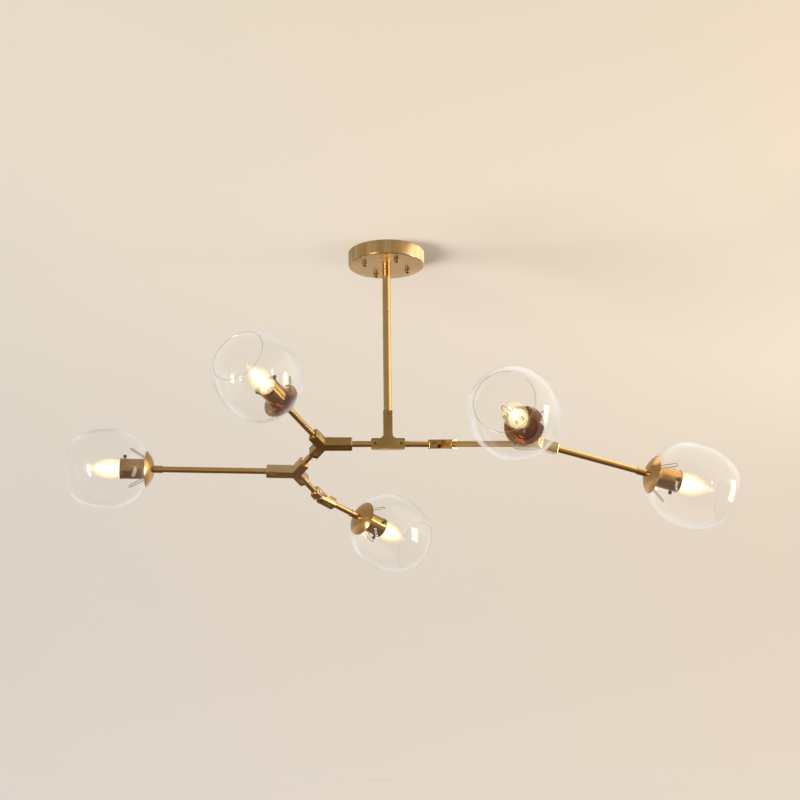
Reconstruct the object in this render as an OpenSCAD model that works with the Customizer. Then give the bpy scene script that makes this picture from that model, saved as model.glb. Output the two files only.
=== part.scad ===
// Branch chandelier: a round canopy, a down-rod, a tee and three-way blocks on thin tubes,
// two lapped knuckles and five clear glass shades over candle bulbs.
// The origin is the centre of the canopy's ceiling face. X runs along the tee, Z points up.

/* [Canopy] */
// Diameter of the canopy
canopy_d = 120; // [105:1:160]
// Height of the canopy from the ceiling to its underside
canopy_h = 22; // [20:1:40]
// Sheet thickness of the canopy
canopy_wall = 1.2; // [1:0.1:2]
// Radius between the canopy's band and its underside
canopy_edge_r = 2; // [1.5:0.5:5]
// Diameter of the mounting plate on the ceiling
plate_d = 96; // [90:1:100]
// Thickness of the mounting plate
plate_t = 2; // [1.5:0.5:4]
// Diameter of the cable opening in the mounting plate
plate_hole_d = 50; // [40:1:56]
// Distance between the two ceiling screw holes
ceiling_screw_spacing = 70; // [64:1:76]
// Diameter of the ceiling screw holes
ceiling_screw_d = 5; // [4:0.5:6]
// Pitch circle of the fixing studs
stud_pcd = 75; // [68:1:82]
// Angle of the first fixing stud
stud_phase = 23; // [18:1:30]
// Diameter of the fixing studs
stud_d = 4; // [3:0.5:5]
// Diameter of the dome nuts under the canopy
dome_nut_d = 7.5; // [6.5:0.5:10]
// Height of the dome nuts
dome_nut_h = 6.5; // [6:0.5:10]

/* [Down-rod and tee] */
// Drop from the ceiling to the axis of the tee
tee_drop = 312; // [230:1:600]
// Outer diameter of the down-rod
stem_d = 12.7; // [12:0.1:16]
// Length of the upper piece of the down-rod
upper_stem_len = 77; // [50:1:140]
// Diameter of the threaded ends and of the nipple
nipple_d = 10; // [9:0.5:10.5]
// Wire bore through the threaded ends
wire_bore = 6.5; // [6:0.5:7]
// Depth of the threaded joints
thread_depth = 16; // [10:1:20]
// Length of each arm of the tee from the centre
tee_arm = 26; // [24:1:40]
// Height of the tee's bar
tee_w = 16; // [14:0.5:18]
// Depth of the tee's bar and width of its stub
tee_t = 14; // [13.5:0.5:18]
// Height of the tee's stub above the axis
tee_stub = 52; // [40:1:80]
// Fillet between stub and bar
tee_fillet = 7; // [3:0.5:9]

/* [Rods and blocks] */
// Outer diameter of the arm rods
rod_d = 9.5; // [8.5:0.1:10.5]
// Wall of the arm rods
rod_wall = 1; // [0.8:0.1:1.2]
// Depth that a rod enters a tee or block
socket_depth = 16; // [12:1:18]
// Length of the long arm of a three-way block
block_long = 46; // [36:1:60]
// Length of the two short arms of a three-way block
block_short = 29; // [28:1:40]
// Width of a three-way block's arm
block_w = 15; // [14:0.5:18]
// Thickness of a three-way block
block_t = 15; // [13.5:0.5:18]
// Corner radius at the end of an arm
block_corner = 2.5; // [1:0.5:4]
// Set screw diameter in the blocks
set_screw_d = 3; // [2.5:0.5:4]
// Set screw diameter in the tee
tee_screw_d = 4.5; // [4:0.5:5]
// Distance of a set screw from the end of its arm
set_screw_inset = 5; // [4:0.5:7]

/* [Branch layout] */
// Distance from the tee's centre to block 1
block_1_reach = 101; // [90:1:180]
// Roll of the left branch about the tee's axis
left_roll = 24; // [0:1:40]
// Distance from block 1 to block 2
block_2_reach = 83; // [70:1:160]
// Twist of block 2 on its rod
block_2_twist = 1.5; // [0:0.5:8]
// Distance from block 2 to knuckle 2
knuckle_2_reach = 79; // [60:1:140]
// Bend of knuckle 2 as drawn
knuckle_2_bend = 20; // [0:1:40]
// Distance from the tee's centre to knuckle 1
knuckle_1_reach = 84; // [60:1:140]
// Roll of knuckle 1 about the tee's axis
right_roll = 13; // [0:1:30]
// Bend of knuckle 1 as drawn
knuckle_1_bend = 52; // [20:1:70]
// Distance from knuckle 1 to block 3
block_3_reach = 203; // [170:1:260]
// Twist of block 3 on its rod
block_3_twist = 17; // [0:1:30]
// Distance from block 2 to the dish of lamp A
lamp_a_reach = 233; // [160:1:320]
// Distance from block 1 to the dish of lamp B
lamp_b_reach = 122; // [100:1:200]
// Distance from knuckle 2 to the dish of lamp C
lamp_c_reach = 88; // [70:1:160]
// Distance from block 3 to the dish of lamp D
lamp_d_reach = 96; // [80:1:160]
// Distance from block 3 to the dish of lamp E
lamp_e_reach = 177; // [140:1:260]

/* [Knuckles] */
// Width of a knuckle
knuckle_w = 14; // [13:0.5:18]
// Thickness of a knuckle along its pivot
knuckle_t = 14; // [12.5:0.5:18]
// Length of the fixed half from the pivot
knuckle_fixed_len = 22; // [18:0.5:30]
// Length of the swinging half from the pivot
knuckle_swing_len = 28; // [18:0.5:34]
// Diameter of the pivot pin
pivot_d = 6; // [5:0.5:6.5]

/* [Lamps] */
// Diameter of the spun dish
dish_d = 57; // [50:1:70]
// Depth of the dish
dish_depth = 12; // [11:0.5:16]
// Sheet thickness of the dish
dish_wall = 1.2; // [1:0.1:2]
// Diameter of the ferrule behind the dish
ferrule_d = 11.5; // [11.5:0.5:15]
// Length of the ferrule
ferrule_len = 13; // [12:0.5:18]
// Outer diameter of the lampholder's sleeve
sleeve_d = 32; // [31:0.5:36]
// Reach of the sleeve in front of the dish
sleeve_len = 40; // [36:1:50]
// Wall of the sleeve
sleeve_wall = 1; // [0.8:0.1:1.2]
// Diameter of the lampholder
holder_d = 28; // [27.6:0.2:29]
// Diameter of the ball heads on the sleeve's screws
ball_d = 6; // [5:0.5:7]
// Diameter of the ball-head screws' threads
ball_screw_d = 2.5; // [2:0.5:3]
// Largest diameter of the candle bulb
bulb_d = 35; // [32:0.5:37]
// Length of the candle bulb with its base
bulb_len = 92; // [88:1:98]

/* [Shades] */
// Largest diameter of a glass shade
shade_d = 124; // [110:1:140]
// Length of a glass shade in front of the dish
shade_len = 119; // [108:1:130]
// Glass thickness
shade_wall = 2.2; // [1.8:0.1:3]
// Radius of the shade's rounded back
shade_back_r = 58; // [54:1:60]
// Radius of the shade's narrowing front
shade_front_r = 74; // [66:1:90]
// Length of the shade's straight middle
shade_middle = 14; // [8:1:20]
// Diameter of the neck hole
shade_neck_d = 44; // [40:1:46]
// Wire diameter of the shade's spring clips
clip_wire_d = 1.2; // [1:0.1:1.6]

/* [Hidden] */
$fn = 72;

brass = "#b98d4a";
dark_brass = "#8f6a34";
bright_brass = "#d9bc7e";
steel = "#a9abad";
clear_glass = [0.9, 0.93, 0.95, 0.4];

fit = 0.05;              // radial clearance of every rod, pin and thread in its bore
over = 1;                // how far a cutting tool runs past the face that it cuts
branch_angle = 120;      // angle between the arms of a three-way block
cable_d = 4.6;           // flexible cable inside the tubes
splice_d = 5.8;          // ball where cables meet in a block
splice_reach = 1.6;      // where a cable leaves that ball
rod_bore = rod_d - 2*rod_wall;
pocket_d = wire_bore + 2.5;      // splice pocket in the middle of a block
pocket_h = wire_bore + 1.5;
channel_start = 0.3*wire_bore;   // where a block's wire channels begin
screw_sunk = 0.3;        // how far a set screw's head sits under the face
screw_tip_gap = 0.3;     // gap between a set screw's tip and the rod that it holds
hex_depth = 1.5;

nut_seat_z = -canopy_h;
stud_len = canopy_h + dome_nut_h - 2;
washer_t = 0.8;
dome_top = 1.6;          // metal over the stud in a dome nut
stud_clear = 0.4;        // how much wider the canopy's stud holes are than the studs
joint_line = 0.8;        // groove where the two pieces of the down-rod meet
nipple_nut_h = 5;
nipple_nut_w = 19;
nipple_top_z = -canopy_h + canopy_wall + nipple_nut_h + 3;
upper_stem_end_z = -canopy_h - upper_stem_len;
stub_top_z = -tee_drop + tee_stub;

terminal_size = [28, 13, 11];
terminal_at = [-9, -35.5];
terminal_pitch = 9;
terminal_hole_d = 3.4;
terminal_hole_depth = 5;

knuckle_gap = 0.15;      // half the gap between the two tongues
knuckle_clear = 0.4;     // gap between a tongue's round end and the other half's shoulder
lock_screw_d = set_screw_d - 0.5;
pin_sunk = 0.4;          // how far the pin ends below the knuckle's faces
slot_w = 1;
slot_depth = 0.8;
knuckle_shoulder = knuckle_w/2 + knuckle_clear;
knuckle_web = 1.5;       // metal between a knuckle's socket and its shoulder
fixed_socket = min(socket_depth, knuckle_fixed_len - knuckle_shoulder - knuckle_web);
swing_socket = min(socket_depth, knuckle_swing_len - knuckle_shoulder - knuckle_web);

seat_gap = 0.4;          // gap between the dish's rim and the glass
shade_r = shade_d/2;
back_centre_r = shade_r - shade_back_r;
back_centre_x = seat_gap + sqrt(pow(shade_back_r, 2) - pow(dish_d/2 - back_centre_r, 2));
front_centre_r = shade_r - shade_front_r;
front_centre_x = back_centre_x + shade_middle;

dish_sphere_r = (pow(dish_d/2, 2) + pow(dish_depth, 2))/(2*dish_depth);
ferrule_back_x = -dish_depth - ferrule_len;
boss_d = 14;
boss_front_x = -dish_depth + dish_wall + 4.8;   // where the sleeve seats on the dish's boss
tail_d = 8;
tail_back_x = -dish_depth - 4;                  // where rod and lampholder tail meet
holder_front_x = sleeve_len - 3.5;
holder_skirt = 1;
ball_screw_x = sleeve_len - 5.5;
sleeve_lip = 1.5;
base_d = 13.8;
base_clear = 0.6;        // how much wider the lampholder's thread is than the base
contact_d = 5;
contact_h = 0.6;
bulb_widest_x = sleeve_len + 18;                // the bulb's belly keeps clear of the sleeve
base_front_x = bulb_widest_x - 30;
base_back_x = base_front_x - 24;
bulb_tip = base_back_x + bulb_len;
bulb_tip_r = 1.6;
holder_floor_x = base_back_x - 1;
clip_angles = [60, 180, 300];
clip_width = 7;
clip_foot_x = -1.5;
clip_neck_x = 3.2;
clip_reach = 21;         // how far a clip runs into the glass from the neck
clip_rise = 14;

// Frames: each places its children at a joint or lamp, with X along the arm.
module at_tee() translate([0, 0, -tee_drop]) children();
module at_block_1() at_tee() translate([-block_1_reach, 0, 0]) rotate([-left_roll, 0, 0]) children();
module at_block_2() at_block_1() rotate([0, 0, branch_angle]) translate([block_2_reach, 0, 0])
    rotate([block_2_twist, 0, 0]) children();
module at_knuckle_2() at_block_2() rotate([0, 0, -branch_angle/2]) translate([knuckle_2_reach, 0, 0])
    children();
module at_knuckle_2_swing() at_knuckle_2() rotate([0, 0, -knuckle_2_bend]) children();
module at_knuckle_1() at_tee() translate([knuckle_1_reach, 0, 0]) rotate([right_roll, 0, 0]) children();
module at_knuckle_1_swing() at_knuckle_1() rotate([0, 0, -knuckle_1_bend]) children();
module at_block_3() at_knuckle_1_swing() translate([block_3_reach, 0, 0])
    rotate([-block_3_twist, 0, 0]) children();

module arm_a() at_block_2() rotate([0, 0, branch_angle/2]) children();
module arm_b() at_block_1() rotate([0, 0, -branch_angle]) children();
module arm_c() at_knuckle_2_swing() children();
module arm_d() at_block_3() rotate([0, 0, -branch_angle/2]) children();
module arm_e() at_block_3() rotate([0, 0, branch_angle/2]) children();
module lamp_a() arm_a() translate([lamp_a_reach, 0, 0]) children();
module lamp_b() arm_b() translate([lamp_b_reach, 0, 0]) children();
module lamp_c() arm_c() translate([lamp_c_reach, 0, 0]) children();
module lamp_d() arm_d() translate([lamp_d_reach, 0, 0]) children();
module lamp_e() arm_e() translate([lamp_e_reach, 0, 0]) children();

// Basic shapes along X.
module along_x() rotate([0, 90, 0]) children();
module bar_x(d, from, to) along_x() translate([0, 0, from]) cylinder(d = d, h = to - from);
module tube_x(d, bore, from, to) difference() {
    bar_x(d, from, to);
    bar_x(bore, from - over, to + over);
}
module cable(from, to) bar_x(cable_d, from, to);

module arm_outline(len, w) {
    translate([0, -w/2]) square([len - block_corner, w]);
    translate([len - block_corner, -w/2 + block_corner]) square([block_corner, w - 2*block_corner]);
    for (side = [-1, 1])
        translate([len - block_corner, side*(w/2 - block_corner)]) circle(r = block_corner);
}
module socket(len, bore_start = 0) {
    bar_x(rod_d + 2*fit, len - socket_depth, len + over);
    bar_x(wire_bore, bore_start, len);
}
// A set screw that points at the X axis from below, its head just under the face.
module set_screw(d, face, tip) difference() {
    translate([0, 0, -face + screw_sunk]) cylinder(d = d, h = face - screw_sunk - tip);
    translate([0, 0, -face]) cylinder(d = d/2, h = hex_depth, $fn = 6);
}
module set_screw_hole(d, face) translate([0, 0, -face - over]) cylinder(d = d + 2*fit, h = face + over);

// Ceiling fittings.
module mounting_plate() color(steel) {
    difference() {
        translate([0, 0, -plate_t]) cylinder(d = plate_d, h = plate_t);
        translate([0, 0, -plate_t - over]) cylinder(d = plate_hole_d, h = plate_t + 2*over);
        for (side = [-1, 1])
            translate([side*ceiling_screw_spacing/2, 0, -plate_t - over])
                cylinder(d = ceiling_screw_d, h = plate_t + 2*over);
    }
    for (k = [0:3]) rotate([0, 0, stud_phase + 90*k]) translate([stud_pcd/2, 0, -stud_len])
        cylinder(d = stud_d, h = stud_len - plate_t/2);
}
module canopy_profile(inset) {
    r = canopy_d/2 - inset;
    edge = canopy_edge_r - inset;
    translate([0, -canopy_h + inset]) square([r - max(edge, 0), canopy_h - inset]);
    translate([0, -canopy_h + inset + max(edge, 0)]) square([r, canopy_h - inset - max(edge, 0)]);
    if (edge > 0) translate([r - edge, -canopy_h + inset + edge]) circle(r = edge);
}
module canopy() color(brass) difference() {
    rotate_extrude($fn = 144) difference() {
        intersection() {
            canopy_profile(0);
            translate([0, -canopy_h]) square([canopy_d, canopy_h]);
        }
        canopy_profile(canopy_wall);
        translate([-over, -over]) square([canopy_d/2 - canopy_wall + over, 2*over]);
    }
    translate([0, 0, -canopy_h - over]) cylinder(d = nipple_d + 2*fit, h = canopy_wall + 2*over);
    for (k = [0:3]) rotate([0, 0, stud_phase + 90*k]) translate([stud_pcd/2, 0, -canopy_h - over])
        cylinder(d = stud_d + stud_clear, h = canopy_wall + 2*over);
}
module canopy_nuts() color(brass)
    for (k = [0:3]) rotate([0, 0, stud_phase + 90*k]) translate([stud_pcd/2, 0, nut_seat_z])
        difference() {
            union() {
                translate([0, 0, -washer_t]) cylinder(d = dome_nut_d + 1, h = washer_t);
                translate([0, 0, -dome_nut_h + dome_nut_d/2]) {
                    sphere(d = dome_nut_d);
                    cylinder(d = dome_nut_d, h = dome_nut_h - dome_nut_d/2);
                }
            }
            cylinder(d = 3*dome_nut_d, h = dome_nut_h);
            translate([0, 0, -dome_nut_h + dome_top]) cylinder(d = stud_d + 2*fit, h = dome_nut_h);
        }
module terminal_block() color("#e9e6df") translate([terminal_at[0], terminal_at[1], -plate_t])
    difference() {
        translate([-terminal_size[0]/2, -terminal_size[1]/2, -terminal_size[2]]) cube(terminal_size);
        for (k = [-1:1]) translate([k*terminal_pitch, 0, -terminal_size[2] - over])
            cylinder(d = terminal_hole_d, h = terminal_hole_depth + over);
    }
module stem_nipple() color(bright_brass)
    translate([0, 0, -canopy_h - thread_depth]) difference() {
        cylinder(d = nipple_d, h = nipple_top_z + canopy_h + thread_depth);
        translate([0, 0, -over])
            cylinder(d = wire_bore, h = nipple_top_z + canopy_h + thread_depth + 2*over);
    }
module nipple_nut() color(bright_brass) translate([0, 0, -canopy_h + canopy_wall]) difference() {
    cylinder(d = nipple_nut_w, h = nipple_nut_h, $fn = 6);
    translate([0, 0, -over]) cylinder(d = nipple_d + 2*fit, h = nipple_nut_h + 2*over);
}

// Down-rod.
module upper_stem() color(brass) translate([0, 0, upper_stem_end_z]) difference() {
    cylinder(d = stem_d, h = upper_stem_len);
    translate([0, 0, -over]) cylinder(d = nipple_d + 2*fit, h = upper_stem_len + 2*over);
}
module lower_stem() color(brass) difference() {
    union() {
        translate([0, 0, stub_top_z])
            cylinder(d = stem_d, h = upper_stem_end_z - stub_top_z - joint_line);
        translate([0, 0, stub_top_z - thread_depth])
            cylinder(d = nipple_d, h = upper_stem_end_z - stub_top_z + 2*thread_depth);
    }
    translate([0, 0, stub_top_z - thread_depth - over])
        cylinder(d = wire_bore, h = upper_stem_end_z - stub_top_z + 2*thread_depth + 2*over);
}

// The tee: a bar and a stub with a fillet between them.
module tee_profile() {
    for (side = [0, 1]) mirror([side, 0]) {
        arm_outline(tee_arm, tee_w);
        translate([tee_t/2 - over, tee_w/2 - over]) difference() {
            square(tee_fillet + over);
            translate([tee_fillet + over, tee_fillet + over]) circle(r = tee_fillet);
        }
    }
    translate([-tee_t/2, 0]) square([tee_t, tee_stub]);
}
module tee_block() color(dark_brass) at_tee() difference() {
    translate([0, tee_t/2, 0]) rotate([90, 0, 0]) linear_extrude(tee_t) tee_profile();
    for (side = [0, 1]) mirror([side, 0, 0]) {
        socket(tee_arm);
        translate([tee_arm - set_screw_inset - tee_screw_d/4, 0, 0]) rotate([-90, 0, 0])
            set_screw_hole(tee_screw_d, tee_t/2);
    }
    cylinder(d = wire_bore, h = tee_stub + over);
    translate([0, 0, tee_stub - thread_depth]) cylinder(d = nipple_d + 2*fit, h = thread_depth + over);
    translate([0, 0, tee_stub - set_screw_inset]) rotate([-90, 0, 0])
        set_screw_hole(set_screw_d, tee_t/2);
}
module tee_screws() color(steel) at_tee() {
    for (side = [0, 1]) mirror([side, 0, 0]) translate([tee_arm - set_screw_inset - tee_screw_d/4, 0, 0])
        rotate([-90, 0, 0]) set_screw(tee_screw_d, tee_t/2, rod_d/2 + screw_tip_gap);
    translate([0, 0, tee_stub - set_screw_inset]) rotate([-90, 0, 0])
        set_screw(set_screw_d, tee_t/2, nipple_d/2 + 0.1);
}

// A three-way block: the long arm along +X, the short arms at the branch angle on either side.
module y_block(side_screw = false) difference() {
    translate([0, 0, -block_t/2]) linear_extrude(block_t) {
        arm_outline(block_long, block_w);
        for (side = [-1, 1]) rotate(side*branch_angle) arm_outline(block_short, block_w);
    }
    cylinder(d = pocket_d, h = pocket_h, center = true);
    socket(block_long, channel_start);
    for (side = [-1, 1]) rotate([0, 0, side*branch_angle]) socket(block_short, channel_start);
    y_screw_places(side_screw) set_screw_hole(set_screw_d, block_t/2 + 0.5);
}
module y_screw_places(side_screw) {
    translate([block_long - set_screw_inset, 0, 0]) children();
    rotate([0, 0, branch_angle]) translate([block_short - set_screw_inset, 0, 0]) children();
    rotate([0, 0, -branch_angle]) translate([block_short - set_screw_inset, 0, 0])
        rotate([side_screw ? 90 : 0, 0, 0]) children();
}
module y_screws(side_screw = false) y_screw_places(side_screw)
    set_screw(set_screw_d, block_t/2, rod_d/2 + screw_tip_gap);
module y_block_1() color(dark_brass) at_block_1() y_block(true);
module y_block_2() color(brass) arm_a() y_block();
module y_block_3() color(brass) at_block_3() rotate([0, 0, 180]) y_block();

// Rods between the blocks: each runs from socket floor to socket floor.
module left_link_rod() color(brass) at_tee()
    tube_x(rod_d, rod_bore, -block_1_reach + block_long - socket_depth, -tee_arm + socket_depth);
module right_link_rod() color(brass) at_tee()
    tube_x(rod_d, rod_bore, tee_arm - socket_depth, knuckle_1_reach - knuckle_fixed_len + fixed_socket);
module y_link_rod() color(brass) at_block_1() rotate([0, 0, branch_angle])
    tube_x(rod_d, rod_bore, block_short - socket_depth, block_2_reach - block_short + socket_depth);
module k2_link_rod() color(brass) at_block_2() rotate([0, 0, -branch_angle/2])
    tube_x(rod_d, rod_bore, block_short - socket_depth,
        knuckle_2_reach - knuckle_fixed_len + fixed_socket);
module k1_link_rod() color(brass) at_knuckle_1_swing()
    tube_x(rod_d, rod_bore, knuckle_swing_len - swing_socket,
        block_3_reach - block_long + socket_depth);
module lamp_rod(inner, reach) tube_x(rod_d, rod_bore, inner, reach + tail_back_x);

// One half of a knuckle: the body reaches along +X, the tongue keeps below the lap plane.
module knuckle_part(len, depth) difference() {
    union() {
        translate([knuckle_shoulder, 0, -knuckle_t/2]) linear_extrude(knuckle_t) difference() {
            translate([-knuckle_shoulder, 0]) arm_outline(len, knuckle_w);
            translate([-2*knuckle_w, -knuckle_w]) square([2*knuckle_w, 2*knuckle_w]);
        }
        translate([0, 0, -knuckle_t/2]) {
            cylinder(d = knuckle_w, h = knuckle_t/2 - knuckle_gap);
            translate([0, -knuckle_w/2, 0])
                cube([knuckle_shoulder + block_corner, knuckle_w, knuckle_t/2 - knuckle_gap]);
        }
    }
    translate([0, 0, -knuckle_t/2 - over]) cylinder(d = pivot_d + 2*fit, h = knuckle_t + 2*over);
    bar_x(rod_d + 2*fit, len - depth, len + over);
    bar_x(wire_bore, knuckle_shoulder - over, len);
}
// The lock screw presses on the pivot, the clamp screws press on the rods.
module lock_place() translate([0, 0, knuckle_t/4]) rotate([-90, 0, 0]) children();
module fixed_clamp_place() translate([fixed_socket/2 - knuckle_fixed_len, 0, 0]) rotate([-90, 0, 0])
    children();
module swing_clamp_place() translate([knuckle_swing_len - swing_socket/2, 0, 0]) children();
module fixed_half() difference() {
    rotate([0, 180, 0]) knuckle_part(knuckle_fixed_len, fixed_socket);
    lock_place() set_screw_hole(lock_screw_d, knuckle_w/2);
    fixed_clamp_place() set_screw_hole(set_screw_d, knuckle_w/2);
}
module swing_half() difference() {
    knuckle_part(knuckle_swing_len, swing_socket);
    swing_clamp_place() set_screw_hole(set_screw_d, knuckle_t/2);
}
module pivot_pin() difference() {
    translate([0, 0, -knuckle_t/2 + pin_sunk]) cylinder(d = pivot_d, h = knuckle_t - 2*pin_sunk);
    for (side = [-1, 1]) translate([-pivot_d, -slot_w/2, side*(knuckle_t/2 - pin_sunk) - slot_depth])
        cube([2*pivot_d, slot_w, 2*slot_depth]);
}
module knuckle_hardware() {
    pivot_pin();
    lock_place() set_screw(lock_screw_d, knuckle_w/2, pivot_d/2 + 0.1);
    fixed_clamp_place() set_screw(set_screw_d, knuckle_w/2, rod_d/2 + screw_tip_gap);
}
module clamp_screw() swing_clamp_place() set_screw(set_screw_d, knuckle_t/2, rod_d/2 + screw_tip_gap);
module knuckle_1_fixed() color(dark_brass) at_knuckle_1() fixed_half();
module knuckle_1_swing() color(brass) at_knuckle_1_swing() swing_half();
module knuckle_1_pivot() color(steel) at_knuckle_1() knuckle_hardware();
module knuckle_2_fixed() color(bright_brass) at_knuckle_2() fixed_half();
module knuckle_2_swing() color(brass) at_knuckle_2_swing() swing_half();
module knuckle_2_pivot() color(steel) at_knuckle_2() knuckle_hardware();

// Lamp parts: X points out of the shade, and the dish's rim lies in the plane x = 0.
module dish() difference() {
    union() {
        along_x() rotate_extrude() difference() {
            intersection() {
                translate([0, dish_sphere_r - dish_depth]) circle(r = dish_sphere_r, $fn = 180);
                translate([0, -dish_depth]) square([dish_d, dish_depth]);
            }
            translate([0, dish_sphere_r - dish_depth])
                circle(r = dish_sphere_r - dish_wall, $fn = 180);
        }
        bar_x(ferrule_d, ferrule_back_x, -dish_depth + dish_wall/2);
        bar_x(boss_d, -dish_depth + dish_wall/2, boss_front_x);
    }
    bar_x(tail_d + 2*fit, tail_back_x - over, boss_front_x + over);
    bar_x(rod_d + 2*fit, ferrule_back_x - over, tail_back_x);
}
module sleeve() difference() {
    union() {
        bar_x(sleeve_d, boss_front_x, sleeve_len);
        bar_x(sleeve_d + sleeve_lip, sleeve_len - sleeve_lip, sleeve_len);
    }
    bar_x(sleeve_d - 2*sleeve_wall, boss_front_x + sleeve_wall, sleeve_len + over);
    bar_x(tail_d + 2*fit, boss_front_x - over, boss_front_x + 2*sleeve_wall);
    for (k = [0:2]) rotate([90 + 120*k, 0, 0]) translate([ball_screw_x, 0, 0])
        cylinder(d = ball_screw_d + 2*fit, h = sleeve_d);
}
module lampholder() difference() {
    union() {
        bar_x(holder_d, boss_front_x + sleeve_wall, holder_front_x);
        bar_x(tail_d, tail_back_x, boss_front_x + 2*sleeve_wall);
    }
    bar_x(base_d + base_clear, holder_floor_x, holder_front_x + over);
    bar_x(holder_d - 2*holder_skirt, base_front_x - 0.5, holder_front_x + over);
    bar_x(cable_d + 0.4, tail_back_x - over, boss_front_x + sleeve_wall + 4);
}
module bulb() {
    bar_x(contact_d, base_back_x - contact_h, base_back_x + over);
    bar_x(base_d, base_back_x, base_front_x);
    low_rise = (bulb_d - base_d - 1)/2;
    low_len = bulb_widest_x - base_front_x;
    low_r = (pow(low_len, 2) + pow(low_rise, 2))/(2*low_rise);
    tip_drop = bulb_d/2 - bulb_tip_r;
    tip_len = bulb_tip - bulb_tip_r - bulb_widest_x;
    tip_r = (pow(tip_len, 2) + pow(tip_drop, 2))/(2*tip_drop);
    along_x() rotate_extrude() {
        intersection() {
            translate([bulb_d/2 - low_r, bulb_widest_x]) circle(r = low_r, $fn = 240);
            translate([0, base_front_x]) square([bulb_d, low_len]);
        }
        intersection() {
            translate([bulb_d/2 - tip_r, bulb_widest_x]) circle(r = tip_r, $fn = 240);
            translate([0, bulb_widest_x]) square([bulb_d, tip_len]);
        }
        intersection() {
            translate([0, bulb_tip - bulb_tip_r]) circle(r = bulb_tip_r);
            translate([0, bulb_tip - bulb_tip_r]) square(bulb_tip_r);
        }
    }
}
// Half section of the shade's outside, less an even inset; X is the radius.
module shade_section(inset, length) {
    intersection() {
        translate([back_centre_r, back_centre_x]) circle(r = shade_back_r - inset, $fn = 240);
        translate([0, seat_gap + inset]) square([shade_r, back_centre_x - seat_gap - inset]);
    }
    translate([0, back_centre_x]) square([shade_r - inset, shade_middle]);
    intersection() {
        translate([front_centre_r, front_centre_x]) circle(r = shade_front_r - inset, $fn = 240);
        translate([0, front_centre_x]) square([shade_r, length - front_centre_x]);
    }
}
module shade() {
    mouth_r = front_centre_r + sqrt(pow(shade_front_r - shade_wall/2, 2)
        - pow(shade_len - shade_wall/2 - front_centre_x, 2));
    along_x() rotate_extrude($fn = 144) {
        difference() {
            shade_section(0, shade_len - shade_wall/2);
            shade_section(shade_wall, shade_len + over);
            square([shade_neck_d/2, shade_wall + 4*over]);
        }
        translate([mouth_r, shade_len - shade_wall/2]) circle(d = shade_wall, $fn = 24);
    }
}
// A spring clip: a hairpin of square wire from the sleeve's foot, through the neck, into the glass.
module clip_side() {
    foot = [clip_foot_x, sleeve_d/2 + clip_wire_d/4];
    neck = [clip_neck_x, shade_neck_d/2 - 2*clip_wire_d];
    tip = neck + [clip_reach, clip_rise];
    rise = [0, clip_wire_d];
    polygon([foot, neck, tip, tip + rise, neck + rise, foot + rise]);
}
module shade_clip() difference() {
    rotate([90, 0, 0]) linear_extrude(clip_width, center = true) clip_side();
    translate([clip_foot_x + clip_wire_d, clip_wire_d - clip_width/2, 0])
        cube([clip_neck_x - clip_foot_x + clip_reach - 2*clip_wire_d, clip_width - 2*clip_wire_d, shade_r]);
}
module shade_clips() for (a = clip_angles) rotate([a, 0, 0]) shade_clip();
module ball_screws() for (k = [0:2]) rotate([90 + 120*k, 0, 0]) translate([ball_screw_x, 0, 0]) {
    translate([0, 0, holder_d/2 + 0.1]) cylinder(d = ball_screw_d, h = (sleeve_d - holder_d)/2 + ball_d/2);
    translate([0, 0, sleeve_d/2 + 0.4 + ball_d/2]) sphere(d = ball_d);
}

module lamp_rod_a() color(brass) arm_a() lamp_rod(block_long - socket_depth, lamp_a_reach);
module lamp_rod_b() color(brass) arm_b() lamp_rod(block_short - socket_depth, lamp_b_reach);
module lamp_rod_c() color(brass) arm_c() lamp_rod(knuckle_swing_len - swing_socket, lamp_c_reach);
module lamp_rod_d() color(brass) arm_d() lamp_rod(block_short - socket_depth, lamp_d_reach);
module lamp_rod_e() color(brass) arm_e() lamp_rod(block_short - socket_depth, lamp_e_reach);
module dish_a() color(brass) lamp_a() dish();
module dish_b() color(brass) lamp_b() dish();
module dish_c() color(brass) lamp_c() dish();
module dish_d_lamp() color(brass) lamp_d() dish();
module dish_e() color(brass) lamp_e() dish();
module sleeve_a() color(brass) lamp_a() sleeve();
module sleeve_b() color(brass) lamp_b() sleeve();
module sleeve_c() color(brass) lamp_c() sleeve();
module sleeve_d_lamp() color(brass) lamp_d() sleeve();
module sleeve_e() color(brass) lamp_e() sleeve();
module shade_a() color(clear_glass) lamp_a() shade();
module shade_b() color(clear_glass) lamp_b() shade();
module shade_c() color(clear_glass) lamp_c() shade();
module shade_d_lamp() color(clear_glass) lamp_d() shade();
module shade_e() color(clear_glass) lamp_e() shade();

// Groups of like small parts, one group for each moving body.
module left_screws() color(steel) {
    at_block_1() y_screws(true);
    arm_a() y_screws();
    lamp_a() ball_screws();
    lamp_b() ball_screws();
}
module end_screws() color(steel) {
    arm_c() clamp_screw();
    lamp_c() ball_screws();
}
module right_screws() color(steel) {
    at_knuckle_1_swing() clamp_screw();
    at_block_3() rotate([0, 0, 180]) y_screws();
    lamp_d() ball_screws();
    lamp_e() ball_screws();
}
module left_lampholders() color("#2b2a28") {
    lamp_a() lampholder();
    lamp_b() lampholder();
}
module end_lampholder() color("#2b2a28") lamp_c() lampholder();
module right_lampholders() color("#2b2a28") {
    lamp_d() lampholder();
    lamp_e() lampholder();
}
module left_shade_clips() color(bright_brass) {
    lamp_a() shade_clips();
    lamp_b() shade_clips();
}
module end_shade_clips() color(bright_brass) lamp_c() shade_clips();
module right_shade_clips() color(bright_brass) {
    lamp_d() shade_clips();
    lamp_e() shade_clips();
}
module left_bulbs() color("#fff2c4") {
    lamp_a() bulb();
    lamp_b() bulb();
}
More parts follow.
